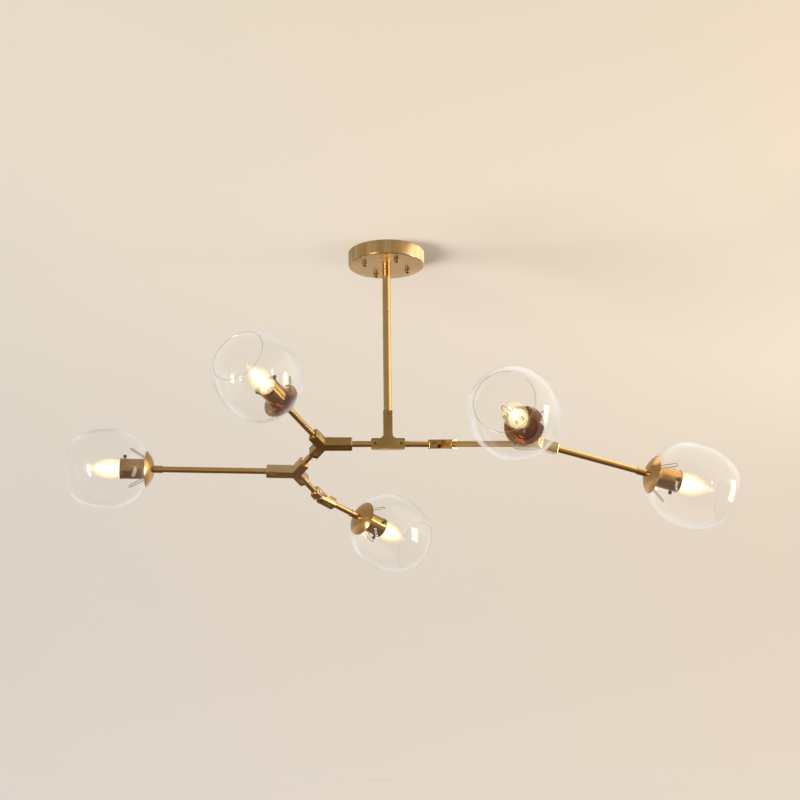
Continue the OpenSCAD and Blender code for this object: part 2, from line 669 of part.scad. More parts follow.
module end_bulb() color("#fff2c4") lamp_c() bulb();
module right_bulbs() color("#fff2c4") {
    lamp_d() bulb();
    lamp_e() bulb();
}

// Flexible cable inside the tubes, joined at a splice in each block.
module splice() sphere(d = splice_d);
module lamp_cable(from, reach) cable(from, reach + boss_front_x + sleeve_wall + 3.5);
module root_wiring() color("#d8d4c8") {
    entry = [terminal_at[0], terminal_at[1] + terminal_size[1]/2, -plate_t - terminal_size[2]/2];
    turn = [0, 0, entry[2]];
    run = turn - entry;
    translate(entry) rotate([-90, 0, atan2(run[1], run[0]) - 90])
        cylinder(d = cable_d, h = norm(run) - splice_reach - 1);
    translate(turn) splice();
    translate([0, 0, -tee_drop + splice_reach])
        cylinder(d = cable_d, h = tee_drop + turn[2] - 2*splice_reach);
    at_tee() {
        splice();
        cable(splice_reach + 1, knuckle_1_reach - knuckle_shoulder - 1);
        cable(-(block_1_reach - block_long), -splice_reach - 1);
    }
}
module left_wiring() color("#d8d4c8") {
    at_block_1() {
        splice();
        cable(splice_reach, block_long - 0.5);
        rotate([0, 0, branch_angle]) cable(splice_reach, block_2_reach - splice_reach);
    }
    arm_b() lamp_cable(splice_reach, lamp_b_reach);
    at_block_2() splice();
    at_block_2() rotate([0, 0, -branch_angle/2])
        cable(splice_reach, knuckle_2_reach - knuckle_shoulder - 1);
    arm_a() lamp_cable(splice_reach, lamp_a_reach);
}
module end_wiring() color("#d8d4c8") arm_c() lamp_cable(knuckle_shoulder + 1, lamp_c_reach);
module right_wiring() color("#d8d4c8") {
    at_knuckle_1_swing() cable(knuckle_shoulder + 1, block_3_reach - splice_reach);
    at_block_3() splice();
    arm_d() lamp_cable(splice_reach, lamp_d_reach);
    arm_e() lamp_cable(splice_reach, lamp_e_reach);
}

mounting_plate();
canopy();
canopy_nuts();
terminal_block();
stem_nipple();
nipple_nut();
upper_stem();
lower_stem();
tee_block();
tee_screws();
root_wiring();
left_link_rod();
y_block_1();
y_link_rod();
y_block_2();
k2_link_rod();
knuckle_2_fixed();
knuckle_2_pivot();
left_screws();
left_lampholders();
left_shade_clips();
left_bulbs();
left_wiring();
lamp_rod_a();
dish_a();
sleeve_a();
shade_a();
lamp_rod_b();
dish_b();
sleeve_b();
shade_b();
knuckle_2_swing();
end_screws();
end_lampholder();
end_shade_clips();
end_bulb();
end_wiring();
lamp_rod_c();
dish_c();
sleeve_c();
shade_c();
right_link_rod();
knuckle_1_fixed();
knuckle_1_pivot();
knuckle_1_swing();
k1_link_rod();
y_block_3();
right_screws();
right_lampholders();
right_shade_clips();
right_bulbs();
right_wiring();
lamp_rod_d();
dish_d_lamp();
sleeve_d_lamp();
shade_d_lamp();
lamp_rod_e();
dish_e();
sleeve_e();
shade_e();
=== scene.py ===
import math

import bpy
import numpy as np
from mathutils import Matrix, Vector


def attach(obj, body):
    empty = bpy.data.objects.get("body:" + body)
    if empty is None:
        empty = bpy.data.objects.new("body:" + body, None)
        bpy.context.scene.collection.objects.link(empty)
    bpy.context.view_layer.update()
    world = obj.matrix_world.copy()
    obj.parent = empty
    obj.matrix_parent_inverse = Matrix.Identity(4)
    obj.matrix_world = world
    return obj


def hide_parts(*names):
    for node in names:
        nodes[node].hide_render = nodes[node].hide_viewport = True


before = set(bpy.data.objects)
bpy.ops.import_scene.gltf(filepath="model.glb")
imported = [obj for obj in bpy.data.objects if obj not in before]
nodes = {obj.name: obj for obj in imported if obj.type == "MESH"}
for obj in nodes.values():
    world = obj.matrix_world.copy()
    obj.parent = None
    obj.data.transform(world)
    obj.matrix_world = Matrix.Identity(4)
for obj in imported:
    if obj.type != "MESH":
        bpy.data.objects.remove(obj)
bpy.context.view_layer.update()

scene = bpy.context.scene
bpy.ops.object.select_all(action="DESELECT")


# ---------------------------------------------------------------------------------------------
# Canopy
# A shallow cap pressed from brass sheet, brushed in circles on a wheel and lacquered satin. It
# hangs on four studs of the ceiling plate, so its rim lies on the ceiling all round.
# ---------------------------------------------------------------------------------------------
# The band's two colours are painted highlight and painted shade, standing in for reflections.
BAND_PAINTED_HIGHLIGHT = (0.96, 0.74, 0.40, 1)
BAND_PAINTED_SHADE = (0.66, 0.42, 0.16, 1)
BAND_START = 0.0575
BAND_FULL = 0.0590
PAINTED_STREAK_SHARE = 0.85
WELD_DISTANCE = 0.00001
BEVEL_ANGLE = math.radians(38)
SPLIT_ANGLE = math.radians(32)


class Signal:
    """One output of a material's nodes. Its operators add Math nodes, node() adds any other."""

    def __init__(self, tree, socket=None):
        self.tree = tree
        self.socket = socket

    def node(self, kind, out=0, settings=None, stops=None, at=None, **sockets):
        """Adds a node, sets or links its sockets by name or by place, and gives one output."""
        made = self.tree.nodes.new("ShaderNode" + kind)
        for name, value in (settings or {}).items():
            setattr(made, name, value)
        if stops:
            elements = made.color_ramp.elements
            while len(elements) > len(stops):
                elements.remove(elements[-1])
            while len(elements) < len(stops):
                elements.new(1)
            for element, (place, colour) in zip(elements, stops):
                element.position = place
                element.color = colour
        named = {name.replace("_", " "): value for name, value in sockets.items()}
        for key, value in {**named, **(at or {})}.items():
            if isinstance(value, Signal):
                self.tree.links.new(value.socket, made.inputs[key])
            else:
                made.inputs[key].default_value = value
        return Signal(self.tree, made.outputs[out]) if made.outputs else None

    def math(self, operation, *values):
        return self.node("Math", settings={"operation": operation}, at=dict(enumerate(values)))

    def __add__(self, other):
        return self.math("ADD", self, other)

    __radd__ = __add__

    def __sub__(self, other):
        return self.math("SUBTRACT", self, other)

    def __rsub__(self, other):
        return self.math("SUBTRACT", other, self)

    def __mul__(self, other):
        return self.math("MULTIPLY", self, other)

    __rmul__ = __mul__

    def __truediv__(self, other):
        return self.math("DIVIDE", self, other)

    def __rtruediv__(self, other):
        return self.math("DIVIDE", other, self)

    def __pow__(self, other):
        return self.math("POWER", self, other)


def new_material(name):
    """An empty material and the Signal that starts its nodes."""
    material = bpy.data.materials.new(name)
    material.use_nodes = True
    material.node_tree.nodes.clear()
    return material, Signal(material.node_tree)


def object_place(start):
    """Where a point of the piece lies in the fitting."""
    return start.node("TexCoord", out="Object")


def axes(start, vector):
    return [start.node("SeparateXYZ", out=axis, Vector=vector) for axis in "XYZ"]


def spread(start, value, low, high, bottom=0.0, top=1.0):
    """Stretches what lies between low and high over bottom to top, and holds it at both ends."""
    return start.node("MapRange", at={0: value, 1: low, 2: high, 3: bottom, 4: top})


def mixed(start, share, colour, other):
    """Two colours, with the given share of the other. A Mix node has them in sockets 6, 7 and 2."""
    sockets = {0: share, 6: colour, 7: other}
    return start.node("Mix", out=2, settings={"data_type": "RGBA"}, at=sockets)


def layered(start, share, under, over):
    """Two shaders, with the given share of the one that lies over."""
    return start.node("MixShader", at={0: share, 1: under, 2: over})


def lathe_parts(start, place):
    """A point's distance from the Z axis, its direction from that axis, and its height."""
    x, y, height = axes(start, place)
    radius = (x * x + y * y) ** 0.5
    return radius, start.node("CombineXYZ", X=x / radius, Y=y / radius, Z=height), height


def ring_grain_place(start, place):
    """Coordinates that hardly change round the axis, so grain in them is drawn out into rings."""
    radius, _, height = lathe_parts(start, place)
    rings = start.node("CombineXYZ", X=radius, Y=0.0, Z=height)
    drift = start.node("VectorMath", settings={"operation": "SCALE"}, at={0: place, 3: 0.02})
    return start.node("VectorMath", settings={"operation": "ADD"}, at={0: rings, 1: drift})


def painted_band_streaks(start, place, colour):
    """Painted highlight and shade streaks on the band, for room lights drawn out by brushing."""
    radius, around, _ = lathe_parts(start, place)
    streaks = start.node("TexNoise", Vector=around, Scale=3.2, Detail=4.0, Roughness=0.6)
    painted_streak_colour = mixed(start, spread(start, streaks, 0.44, 0.72), BAND_PAINTED_SHADE, BAND_PAINTED_HIGHLIGHT)
    on_band = spread(start, radius, BAND_START, BAND_FULL, top=PAINTED_STREAK_SHARE)
    return mixed(start, on_band, colour, painted_streak_colour)


def brushed_brass(name, light, dark, roughness, grain_size=0.0005, turned=False, bump=0.12):
    """Lacquered brass with a fine grain in colour, gloss and surface, and faint handling marks."""
    material, start = new_material(name)
    place = object_place(start)
    grain_place = ring_grain_place(start, place) if turned else place
    grain = start.node(
        "TexNoise", Vector=grain_place, Scale=1 / grain_size, Detail=3.0, Roughness=0.6
    )
    marks = start.node("TexNoise", Vector=place, Scale=38.0, Detail=2.0, Roughness=0.45)
    wear = spread(start, marks, 0.25, 0.75)
    colour = mixed(start, grain * 0.6 + wear * 0.4, dark, light)
    # On the canopy's band the colour also takes painted highlight and shade streaks.
    if turned:
        colour = painted_band_streaks(start, place, colour)
    shader = start.node(
        "BsdfPrincipled",
        Base_Color=colour,
        Metallic=1.0,
        Roughness=roughness - 0.05 + grain * 0.08 + wear * 0.04,
        Normal=start.node("Bump", Height=grain, Strength=bump, Distance=grain_size * 0.4),
    )
    start.node("OutputMaterial", Surface=shader)
    return material


def finish(node_names, material, edge=0.0):
    """Gives CAD nodes their material, joins their loose triangles and takes off sharp edges."""
    for name in node_names:
        piece = nodes[name]
        piece.data.materials.clear()
        piece.data.materials.append(material)
        piece.data.polygons.foreach_set("use_smooth", [True] * len(piece.data.polygons))
        weld = piece.modifiers.new("Weld", "WELD")
        weld.merge_threshold = WELD_DISTANCE
        if edge:
            bevel = piece.modifiers.new("Bevel", "BEVEL")
            bevel.width = edge
            bevel.segments = 2
            bevel.limit_method = "ANGLE"
            bevel.angle_limit = BEVEL_ANGLE
            bevel.harden_normals = True
        else:
            split = piece.modifiers.new("Edge Split", "EDGE_SPLIT")
            split.split_angle = SPLIT_ANGLE


canopy_brass = brushed_brass(
    "Canopy brass",
    light=(0.80, 0.55, 0.26, 1),
    dark=(0.70, 0.46, 0.19, 1),
    roughness=0.27,
    turned=True,
)
nut_brass = brushed_brass(
    "Nut brass", light=(0.42, 0.25, 0.12, 1), dark=(0.30, 0.17, 0.08, 1), roughness=0.14
)
finish(["canopy"], canopy_brass)
finish(["canopy_nuts"], nut_brass)


# ---------------------------------------------------------------------------------------------
# Ceiling plate, terminal block, nipple
# A zinc-plated steel disc with riveted studs, screwed to the ceiling inside the canopy. The
# down-rod hangs on a threaded brass nipple with a hexagon nut, and the cable starts at a white
# terminal block.
# ---------------------------------------------------------------------------------------------
def plated_steel(name, light, dark, roughness):
    """Plated or blackened steel, with the cloudy crystals of the plating."""
    material, start = new_material(name)
    place = object_place(start)
    crystals = start.node("TexVoronoi", Vector=place, Scale=420.0)
    cloud = start.node("TexNoise", Vector=place, Scale=160.0, Detail=3.0)
    shader = start.node(
        "BsdfPrincipled",
        Base_Color=mixed(start, crystals * 0.5 + cloud * 0.6, dark, light),
        Metallic=1.0,
        Roughness=roughness - 0.06 + cloud * 0.12,
        Normal=start.node("Bump", Height=cloud, Strength=0.08, Distance=0.0002),
    )
    start.node("OutputMaterial", Surface=shader)
    return material


def plain_plastic(name, light, dark, roughness):
    """Moulded plastic, rubber or glaze: nearly one colour, with a soft cloud and a fine skin."""
    material, start = new_material(name)
    place = object_place(start)
    cloud = start.node("TexNoise", Vector=place, Scale=90.0, Detail=3.0)
    skin = start.node("TexNoise", Vector=place, Scale=2400.0, Detail=2.0)
    shader = start.node(
        "BsdfPrincipled",
        Base_Color=mixed(start, cloud, dark, light),
        Roughness=roughness - 0.05 + cloud * 0.1,
        Normal=start.node("Bump", Height=skin, Strength=0.1, Distance=0.0001),
    )
    start.node("OutputMaterial", Surface=shader)
    return material


plate_zinc = plated_steel(
    "Plate zinc", light=(0.62, 0.62, 0.60, 1), dark=(0.42, 0.42, 0.41, 1), roughness=0.36
)
thread_brass = brushed_brass(
    "Thread brass",
    light=(0.76, 0.60, 0.33, 1),
    dark=(0.58, 0.43, 0.20, 1),
    roughness=0.24,
    grain_size=0.0003,
)
terminal_white = plain_plastic(
    "Terminal white", light=(0.86, 0.85, 0.81, 1), dark=(0.74, 0.73, 0.69, 1), roughness=0.45
)
finish(["mounting_plate"], plate_zinc, edge=0.0002)
finish(["stem_nipple", "nipple_nut"], thread_brass, edge=0.0002)
finish(["terminal_block"], terminal_white, edge=0.0003)


# ---------------------------------------------------------------------------------------------
# Down-rod and arm tubes
# Drawn brass tube, polished along its length and lacquered. The down-rod comes in two pieces
# that meet over a thread, and every arm tube ends in a socket where a grub screw clamps it.
# ---------------------------------------------------------------------------------------------
tube_brass = brushed_brass(
    "Tube brass",
    light=(0.78, 0.52, 0.22, 1),
    dark=(0.66, 0.42, 0.16, 1),
    roughness=0.13,
    bump=0.08,
)
finish(
    [
        "upper_stem",
        "lower_stem",
        "left_link_rod",
        "y_link_rod",
        "k2_link_rod",
        "right_link_rod",
        "k1_link_rod",
        "lamp_rod_a",
        "lamp_rod_b",
        "lamp_rod_c",
        "lamp_rod_d",
        "lamp_rod_e",
    ],
    tube_brass,
)


# ---------------------------------------------------------------------------------------------
# Tee, three-way blocks and knuckles
# Machined from solid brass bar: flat milled faces, broken edges and rounded corners, brushed by
# hand. Each knuckle is a half-lap joint whose tongues are pressed together on a steel pivot.
# ---------------------------------------------------------------------------------------------
# One brass in two copies: a darker one as painted shade for the tee, block 1 and knuckle 1, and a
# lighter one as painted light for the rest.
shaded_block_brass = brushed_brass(
    "Shaded block brass",
    light=(0.60, 0.39, 0.15, 1),
    dark=(0.47, 0.29, 0.10, 1),
    roughness=0.24,
    grain_size=0.0006,
)
lit_block_brass = brushed_brass(
    "Lit block brass",
    light=(0.85, 0.64, 0.35, 1),
    dark=(0.72, 0.51, 0.24, 1),
    roughness=0.20,
    grain_size=0.0006,
)
finish(["tee_block", "y_block_1", "knuckle_1_fixed", "knuckle_1_swing"], shaded_block_brass, edge=0.0005)
finish(["y_block_2", "y_block_3", "knuckle_2_fixed", "knuckle_2_swing"], lit_block_brass, edge=0.0005)


# ---------------------------------------------------------------------------------------------
# Screws and pivots
# Blackened steel grub screws with a hexagon socket, slotted steel pivots, and on each sleeve
# three screws with polished ball heads.
# ---------------------------------------------------------------------------------------------
screw_steel = plated_steel(
    "Screw steel", light=(0.26, 0.19, 0.13, 1), dark=(0.14, 0.10, 0.07, 1), roughness=0.18
)
finish(["tee_screws", "knuckle_1_pivot", "knuckle_2_pivot"], screw_steel)
finish(["left_screws", "end_screws", "right_screws"], screw_steel)


# ---------------------------------------------------------------------------------------------
# Dishes, sleeves and lampholders
# Each dish is spun from brass with its ferrule soldered on behind. The sleeve is a drawn brass
# cup with a rolled rim that hides the glazed white lampholder.
# ---------------------------------------------------------------------------------------------
dish_brass = brushed_brass(
    "Dish brass",
    light=(0.70, 0.45, 0.19, 1),
    dark=(0.56, 0.34, 0.13, 1),
    roughness=0.22,
    grain_size=0.0007,
    bump=0.08,
)
sleeve_brass = brushed_brass(
    "Sleeve brass",
    light=(0.66, 0.38, 0.12, 1),
    dark=(0.36, 0.19, 0.06, 1),
    roughness=0.09,
    grain_size=0.0006,
    bump=0.06,
)
holder_glaze = plain_plastic(
    "Holder glaze", light=(0.84, 0.82, 0.76, 1), dark=(0.72, 0.69, 0.62, 1), roughness=0.22
)
finish(["dish_a", "dish_b", "dish_c", "dish_d_lamp", "dish_e"], dish_brass)
finish(["sleeve_a", "sleeve_b", "sleeve_c", "sleeve_d_lamp", "sleeve_e"], sleeve_brass)
finish(["left_lampholders", "end_lampholder", "right_lampholders"], holder_glaze, edge=0.0003)


# ---------------------------------------------------------------------------------------------
# Cables
# Round flexible cable in a pale sheath, drawn through every tube from the canopy to the lamps.
# ---------------------------------------------------------------------------------------------
cable_sheath = plain_plastic(
    "Cable sheath", light=(0.72, 0.69, 0.62, 1), dark=(0.58, 0.55, 0.48, 1), roughness=0.5
)
finish(["root_wiring", "left_wiring", "end_wiring", "right_wiring"], cable_sheath)


# ---------------------------------------------------------------------------------------------
# Glass shades
# Hand-blown clear glass, a flattened ball cut open at the front with a fire-polished lip, and a
# neck hole at the back whose edge lies on the dish.
# ---------------------------------------------------------------------------------------------
WALL = 0.0022
SHADE_PROFILE = [
    (0.0004, 0.0222),
    (0.0006, 0.0262),
    (0.0022, 0.0305),
    (0.0062, 0.0368),
    (0.0115, 0.0430),
    (0.0168, 0.0482),
    (0.0230, 0.0531),
    (0.0326, 0.0580),
    (0.0440, 0.0610),
    (0.0530, 0.0618),
    (0.0620, 0.0619),
    (0.0760, 0.0612),
    (0.0860, 0.0592),
    (0.0960, 0.0560),
    (0.1060, 0.0513),
    (0.1130, 0.0466),
    (0.1185, 0.0414),
]
SHADE_SIDES = 96
LIP_START = 0.1176
LIP_ROUNDING = WALL * 0.45
ROD_END_TO_RIM = 0.016
# The grey at the glass's edges is partly its longer path, partly painted shade; the white rim
# emission is a painted sheen.
RIM_GREY = (0.62, 0.60, 0.56, 1)
RIM_PAINTED_SHEEN = (1.0, 0.965, 0.92, 1)
LAMP_BODY = {
    "a": "left_branch",
    "b": "left_branch",
    "c": "left_end",
    "d": "right_branch",
    "e": "right_branch",
}
LAMP_BLOCK = {
    "a": "y_block_2",
    "b": "y_block_1",
    "c": "y_block_2",
    "d": "y_block_3",
    "e": "y_block_3",
}
SUFFIX = {"a": "a", "b": "b", "c": "c", "d": "d_lamp", "e": "e"}
Z_TO_X = Matrix.Rotation(math.pi / 2, 4, "Y")


def corners(name):
    """A CAD node's corner points as an array, in metres."""
    flat = np.empty(len(nodes[name].data.vertices) * 3)
    nodes[name].data.vertices.foreach_get("co", flat)
    return flat.reshape(-1, 3)


def main_axes(points):
    """The directions in which points reach, from the longest to the shortest."""
    return np.linalg.svd(points - points.mean(axis=0), full_matrices=False)[2]


def lamp_place(lamp):
    """The lamp's frame: X out along the tube, the dish's rim at zero, and Z square to its block."""
    tube = corners("lamp_rod_" + lamp)
    middle = tube.mean(axis=0)
    along = main_axes(tube)[0]
    dish = corners("dish_" + SUFFIX[lamp]).mean(axis=0)
    if np.dot(dish - middle, along) < 0:
        along = -along
    reach = np.max((tube - middle) @ along) + ROD_END_TO_RIM
    off_block = main_axes(corners(LAMP_BLOCK[lamp]))[2]
    off_block = off_block if off_block[2] > 0 else -off_block
    x_axis = Vector(along).normalized()
    y_axis = Vector(off_block).cross(x_axis).normalized()
    z_axis = x_axis.cross(y_axis)
    turn = Matrix((x_axis, y_axis, z_axis)).transposed().to_4x4()
    return Matrix.Translation(Vector(middle + along * reach)) @ turn


def select_only(piece):
    bpy.ops.object.select_all(action="DESELECT")
    piece.select_set(True)
    bpy.context.view_layer.objects.active = piece


def turned_piece(name, profile, sides, cap_ends=False):
    """A ring drawn out and resized along its own Z, as a turner's profile of (height, radius)."""
    height, radius = profile[0]
    bpy.ops.mesh.primitive_circle_add(
        vertices=sides,
        radius=radius,
        location=(0, 0, height),
        fill_type="NGON" if cap_ends else "NOTHING",
    )
    piece = bpy.context.active_object
    piece.name = name
    piece.data.transform(piece.matrix_world)
    piece.matrix_world = Matrix.Identity(4)
    bpy.ops.object.mode_set(mode="EDIT")
    bpy.ops.mesh.select_all(action="SELECT")
    for next_height, next_radius in profile[1:]:
        step = (0, 0, next_height - height)
        bpy.ops.mesh.extrude_region_move(TRANSFORM_OT_translate={"value": step})
        grow = next_radius / radius
        bpy.ops.transform.resize(value=(grow, grow, 1), center_override=(0, 0, next_height))
        height, radius = next_height, next_radius
    bpy.ops.mesh.select_all(action="SELECT")
    bpy.ops.mesh.normals_make_consistent(inside=False)
    bpy.ops.object.mode_set(mode="OBJECT")
    return piece


def apply_modifiers(piece):
    select_only(piece)
    for modifier in list(piece.modifiers):
        bpy.ops.object.modifier_apply(modifier=modifier.name)


def smooth(piece, degrees=40):
    select_only(piece)
    bpy.ops.object.shade_smooth_by_angle(angle=math.radians(degrees))


def placed_copy(pattern, name, place):
    """A copy of a finished piece with its own mesh, with its place in the mesh."""
    copy = pattern.copy()
    copy.data = pattern.data.copy()
    copy.name = name
    copy.data.transform(place)
    scene.collection.objects.link(copy)
    return copy


def clear_glass(name, least_shine, tint):
    """Thin clear glass: light goes through it; its edges shine, grey and carry a painted sheen."""
    material, start = new_material(name)
    place = object_place(start)
    waves = start.node("TexNoise", Vector=place, Scale=24.0, Detail=2.0, Roughness=0.4)
    ripple = start.node("Bump", Height=waves, Strength=0.35, Distance=0.004)
    facing = start.node("LayerWeight", out="Facing", Blend=0.5, Normal=ripple)
    # Grey at the very edges: partly the longer path through the glass, partly painted shade for
    # refraction's dark lines.
    through = layered(
        start,
        facing**12,
        start.node("BsdfTransparent", Color=tint),
        start.node("BsdfTransparent", Color=RIM_GREY),
    )
    # A white emission at the edges and a faint haze everywhere: a painted sheen for the reflected
    # room.
    patches = spread(start, waves, 0.36, 0.60)
    glow = start.node("Emission", Color=RIM_PAINTED_SHEEN, Strength=1.05)
    body = layered(start, 0.009 + 0.7 * facing**5 * patches, through, glow)
    shine = start.node("BsdfGlossy", Color=(1, 1, 1, 1), Roughness=0.07, Normal=ripple)
    glass = layered(start, least_shine + 0.3 * facing**4, body, shine)
    start.node("OutputMaterial", Surface=glass)
    return material


places = {lamp: lamp_place(lamp) for lamp in "abcde"}
shade = turned_piece("shade pattern", SHADE_PROFILE, SHADE_SIDES)
wall = shade.modifiers.new("Wall", "SOLIDIFY")
wall.thickness = WALL
wall.offset = -1
wall.use_even_offset = True
lip = shade.modifiers.new("Lip", "BEVEL")
lip.width = LIP_ROUNDING
lip.segments = 4
lip.limit_method = "ANGLE"
lip.angle_limit = math.radians(55)
apply_modifiers(shade)
smooth(shade)
glass = clear_glass("Clear glass", least_shine=0.018, tint=(1.0, 1.0, 1.0, 1))
shade.data.materials.append(glass)
# The lip is tinted grey, painted shade for the dark lines its rounded edge draws, and shines more.
shade.data.materials.append(clear_glass("Glass lip", least_shine=0.28, tint=(0.80, 0.79, 0.76, 1)))
for polygon in shade.data.polygons:
    polygon.material_index = int(polygon.center.z > LIP_START)
for lamp, place in places.items():
    piece = placed_copy(shade, "glass_shade_" + lamp, place @ Z_TO_X)
    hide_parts("shade_" + SUFFIX[lamp])
    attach(piece, LAMP_BODY[lamp])
bpy.data.objects.remove(shade)


# ---------------------------------------------------------------------------------------------
# Candle bulbs
# A clear candle envelope drawn to a point over four glowing strands on a glass stem, on a small
# screw base of nickel-plated brass. The five are lit.
# ---------------------------------------------------------------------------------------------
BULB_GROUPS = {
    "a": "left_bulbs",
    "b": "left_bulbs",
    "c": "end_bulb",
    "d": "right_bulbs",
    "e": "right_bulbs",
}
BASE_START = 0.0034
BASE_END = 0.0280
BASE_RADIUS = 0.0066
THREAD_START = BASE_START + 0.0035
THREAD_TURNS = 5
THREAD_PITCH = (BASE_END - BASE_START - 0.006) / THREAD_TURNS
THREAD_ROOT = BASE_RADIUS - 0.0005
THREAD_CREST = BASE_RADIUS + 0.0002
BASE_SIDES = 48
ENVELOPE_SIDES = 64
ENVELOPE_PROFILE = [
    (0.0276, 0.0072),
    (0.0310, 0.0092),
    (0.0350, 0.0116),
    (0.0400, 0.0140),
    (0.0460, 0.0160),
    (0.0520, 0.0171),
    (0.0580, 0.01745),
    (0.0640, 0.0170),
    (0.0700, 0.0156),
    (0.0760, 0.0132),
    (0.0820, 0.0098),
    (0.0870, 0.0064),
    (0.0910, 0.0038),
    (0.0940, 0.0022),
    (0.0956, 0.0010),
]
STEM_SIDES = 16
STEM_PROFILE = [
    (0.028, 0.0045),
    (0.034, 0.0040),
    (0.040, 0.0024),
    (0.060, 0.0013),
    (0.079, 0.0009),
]
STRAND_START = 0.040
STRAND_END = 0.078
STRAND_RADIUS = 0.0006
STRAND_ROUNDING = 0.0004
STRAND_CIRCLE = 0.0042
STRAND_COUNT = 4


def lit_envelope():
    """The envelope in the light of its strands: the warm glow is strongest low in its middle."""
    material, start = new_material("Bulb envelope")
    cloud = start.node("TexNoise", Vector=object_place(start), Scale=60.0, Detail=2.0)
    rim = start.node("LayerWeight", out="Facing", Blend=0.5)
    height_map = start.node("UVMap", settings={"uv_map": "height"})
    towards_tip = axes(start, height_map)[0]
    glow_colour = mixed(start, rim, (1.0, 0.95, 0.70, 1), (1.0, 0.70, 0.22, 1))
    glow = start.node("Emission", Color=glow_colour, Strength=1.65)
    clear = start.node("BsdfTransparent", Color=(1.0, 0.98, 0.92, 1))
    fade = spread(start, towards_tip, 0.35, 0.95, bottom=1.0, top=0.22)
    haze = ((1.0 - rim) ** 3.0 * 0.9 + cloud * 0.1) * fade
    shine = start.node("BsdfGlossy", Color=(1, 1, 1, 1), Roughness=0.05)
    envelope_glass = layered(start, 0.02 + 0.3 * rim**5, layered(start, haze, clear, glow), shine)
    start.node("OutputMaterial", Surface=envelope_glass)
    return material


def lit_strand():
    material, start = new_material("Bulb strand")
    beads = start.node("TexNoise", Vector=object_place(start), Scale=700.0)
    colour = mixed(start, beads, (1.0, 0.62, 0.22, 1), (1.0, 0.86, 0.52, 1))
    start.node("OutputMaterial", Surface=start.node("Emission", Color=colour, Strength=8.0))
    return material


base_profile = [(BASE_START, 0.0022), (BASE_START + 0.0012, 0.0026), (BASE_START + 0.0022, 0.0056)]
for turn in range(THREAD_TURNS):
    low = THREAD_START + turn * THREAD_PITCH
    base_profile += [(low, THREAD_ROOT), (low + THREAD_PITCH / 2, THREAD_CREST)]
base_profile += [(BASE_END - 0.0018, BASE_RADIUS), (BASE_END, BASE_RADIUS + 0.0003)]
base_nickel = plated_steel(
    "Base nickel", light=(0.74, 0.70, 0.62, 1), dark=(0.58, 0.53, 0.45, 1), roughness=0.25
)
base = turned_piece("bulb base", base_profile, BASE_SIDES, cap_ends=True)
smooth(base, 60)
base.data.materials.append(base_nickel)

envelope = turned_piece("bulb envelope", ENVELOPE_PROFILE, ENVELOPE_SIDES)
select_only(envelope)
foot_height = ENVELOPE_PROFILE[0][0]
tip_height = ENVELOPE_PROFILE[-1][0]
for vertex in envelope.data.vertices:
    vertex.select = vertex.co.z > tip_height - 0.0001
bpy.ops.object.mode_set(mode="EDIT")
bpy.ops.mesh.select_mode(type="VERT")
bpy.ops.mesh.edge_face_add()
bpy.ops.object.mode_set(mode="OBJECT")
smooth(envelope, 60)
height_map = envelope.data.uv_layers.new(name="height")
for loop in envelope.data.loops:
    above_foot = envelope.data.vertices[loop.vertex_index].co.z - foot_height
    height_map.data[loop.index].uv = (above_foot / (tip_height - foot_height), 0.5)
envelope.data.materials.append(lit_envelope())

strand_glow = lit_strand()
strands = []
for number in range(STRAND_COUNT):
    angle = math.radians(45 + 360 / STRAND_COUNT * number)
    bpy.ops.mesh.primitive_cylinder_add(
        vertices=12,
        radius=STRAND_RADIUS,
        depth=STRAND_END - STRAND_START,
        location=(
            STRAND_CIRCLE * math.cos(angle),
            STRAND_CIRCLE * math.sin(angle),
            (STRAND_START + STRAND_END) / 2,
        ),
    )
    strand = bpy.context.active_object
    bpy.ops.object.mode_set(mode="EDIT")
    bpy.ops.mesh.select_all(action="SELECT")
    bpy.ops.mesh.bevel(offset=STRAND_ROUNDING, segments=2)
    bpy.ops.object.mode_set(mode="OBJECT")
    strand.data.transform(strand.matrix_world)
    strand.matrix_world = Matrix.Identity(4)
    strand.data.materials.append(strand_glow)
    strands.append(strand)
stem = turned_piece("bulb stem", STEM_PROFILE, STEM_SIDES, cap_ends=True)
smooth(stem)
stem.data.materials.append(glass)
select_only(base)
for part in [envelope, stem, *strands]:
    part.select_set(True)
bpy.ops.object.join()
for lamp, place in places.items():
    piece = placed_copy(base, "candle_bulb_" + lamp, place @ Z_TO_X)
    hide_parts(BULB_GROUPS[lamp])
    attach(piece, LAMP_BODY[lamp])
bpy.data.objects.remove(base)


# ---------------------------------------------------------------------------------------------
# Spring clips
# Three hairpins of bright spring wire for each lamp. They come from under the sleeve, pass
# through the neck of the glass and press outwards against it.
# ---------------------------------------------------------------------------------------------
CLIP_GROUPS = {
    "a": "left_shade_clips",
    "b": "left_shade_clips",
    "c": "end_shade_clips",
    "d": "right_shade_clips",
    "e": "right_shade_clips",
}
CLIP_TURNS = (60, 180, 300)
WIRE_RADIUS = 0.0006
CLIP_PATH = [
    (-0.0012, 0.0029, 0.0170),
    (0.0010, 0.0028, 0.0185),
    (0.0032, 0.0028, 0.0203),
    (0.0120, 0.0029, 0.0262),
    (0.0205, 0.0028, 0.0322),
    (0.0232, 0.0020, 0.0338),
    (0.0240, 0.0000, 0.0343),
]


